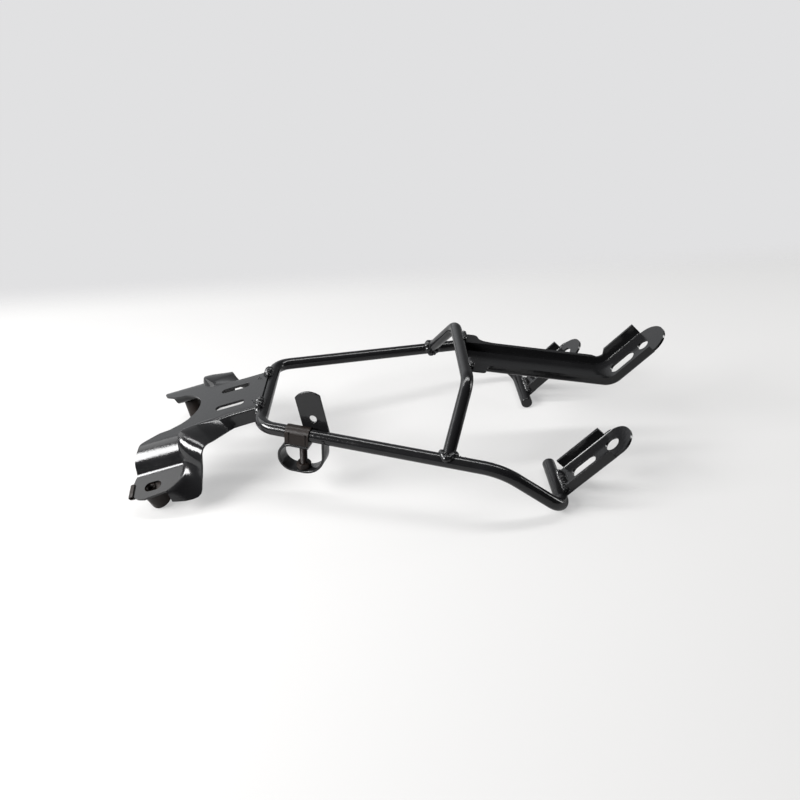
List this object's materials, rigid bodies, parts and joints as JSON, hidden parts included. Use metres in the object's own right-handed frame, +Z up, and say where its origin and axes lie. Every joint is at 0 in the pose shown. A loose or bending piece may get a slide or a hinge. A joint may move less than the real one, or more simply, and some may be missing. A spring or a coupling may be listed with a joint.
{
  "type": "scooter rear rack",
  "caption": "Bent rod carrier frame with a cross arch, a pressed winged neck plate with captive nuts, channel brackets at the tail and a rod clamp with a loop and a tab.",
  "frame": {"origin": "bottom centre of the bounding box: the ground plane under the nuts and hooks, at the middle of the length", "axes": "+X to the rear of the vehicle along the rack, +Y to its right side, +Z up, as the rack rests on level ground"},
  "size_m": [0.4276, 0.2218, 0.0963],
  "materials": {
    "black_paint": "gloss black powder coat",
    "dark_zinc": "dark passivated zinc",
    "weld_metal": "rippled weld bead under gloss black coat"
  },
  "bodies": {
    "root": {"hoop_rod": "black_paint", "cross_arch": "black_paint", "neck_plate": "black_paint", "left_spring_clip": "dark_zinc", "right_spring_clip": "dark_zinc", "left_captive_nut": "dark_zinc", "right_captive_nut": "dark_zinc", "centre_channel": "black_paint", "left_tail_bracket": "black_paint", "right_tail_bracket": "black_paint", "clamp_saddle": "dark_zinc", "clamp_tab": "black_paint", "clamp_loop": "black_paint", "clamp_bolt": "dark_zinc", "clamp_nut": "dark_zinc", "left_neck_weld": "weld_metal", "right_neck_weld": "weld_metal", "left_arch_weld": "weld_metal", "right_arch_weld": "weld_metal", "left_ear_weld": "weld_metal", "right_ear_weld": "weld_metal", "left_bracket_weld": "weld_metal", "right_bracket_weld": "weld_metal"}
  },
  "joints": []
}
